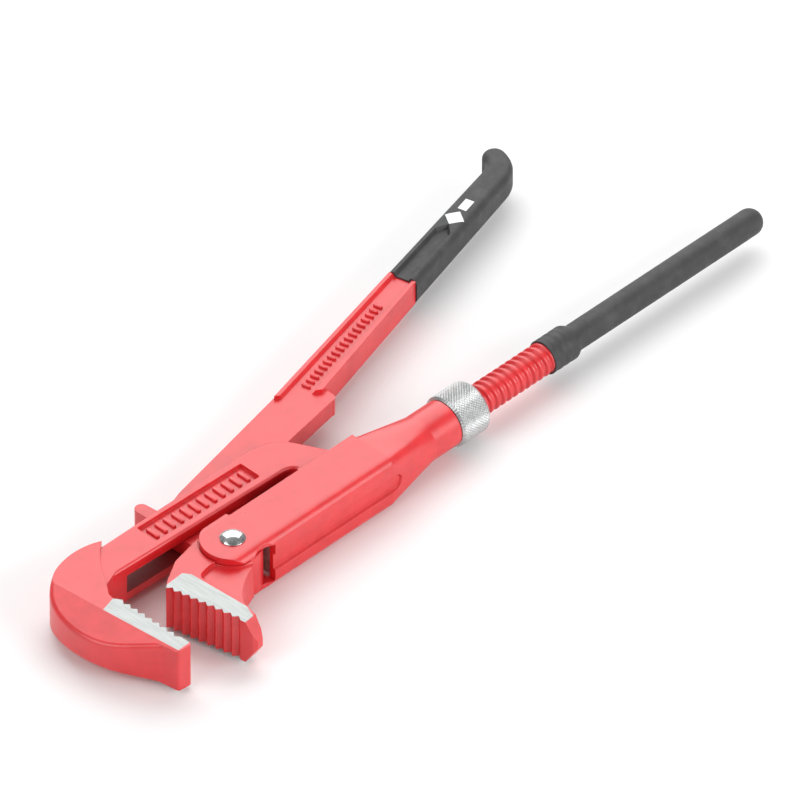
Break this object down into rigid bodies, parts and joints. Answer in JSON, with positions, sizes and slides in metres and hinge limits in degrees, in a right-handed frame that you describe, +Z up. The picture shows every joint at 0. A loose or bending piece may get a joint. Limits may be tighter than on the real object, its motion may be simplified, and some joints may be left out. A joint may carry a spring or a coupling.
{
  "type": "pipe wrench",
  "caption": "Right-angle lever pipe wrench: fixed hook jaw on a threaded rod, sliding housing with knurled nut, pivoting toothed jaw and lever, dipped grips.",
  "frame": {"origin": "on the housing's flat bottom face, straight below the pivot rivet", "axes": "+X along the threaded rod towards the handles, +Y from the rod towards the slotted shank and the lever, +Z up out of the tool's flat side"},
  "size_m": [0.4255, 0.1639, 0.0308],
  "materials": {
    "red_paint": "glossy red enamel on forged steel",
    "housing_paint": "glossy red enamel on pressed steel",
    "grip_plastic": "satin dipped plastic",
    "rivet_steel": "polished",
    "spring_steel": "oiled dark steel",
    "zinc_plate": "bright zinc, knurled"
  },
  "bodies": {
    "leg": {"hook_jaw_leg": "red_paint", "threaded_rod": "red_paint", "rod_grip": "grip_plastic"},
    "housing": {"housing": "housing_paint", "pivot_rivet": "rivet_steel", "leaf_spring": "spring_steel", "spring_rivet": "housing_paint"},
    "nut": {"adjusting_nut": "zinc_plate"},
    "lever": {"lower_jaw_lever": "red_paint", "lever_grip": "grip_plastic"}
  },
  "joints": [
    {"name": "housing_slide", "type": "slide", "parent": "leg", "child": "housing", "axis": [1, 0, 0], "range_m": [-0.018, 0.04]},
    {"name": "nut_spin", "type": "hinge", "parent": "housing", "child": "nut", "pos_m": [0.143, 0, 0.014], "axis": [1, 0, 0], "range_deg": [-1650, 3630]},
    {"name": "jaw_pivot", "type": "hinge", "parent": "housing", "child": "lever", "pos_m": [0, 0, 0.014], "axis": [0, 0, 1], "range_deg": [-11, 14]}
  ],
  "couplings": [
    {"joint": "nut_spin", "follows": "housing_slide", "rad_per_m": 1570.8}
  ]
}
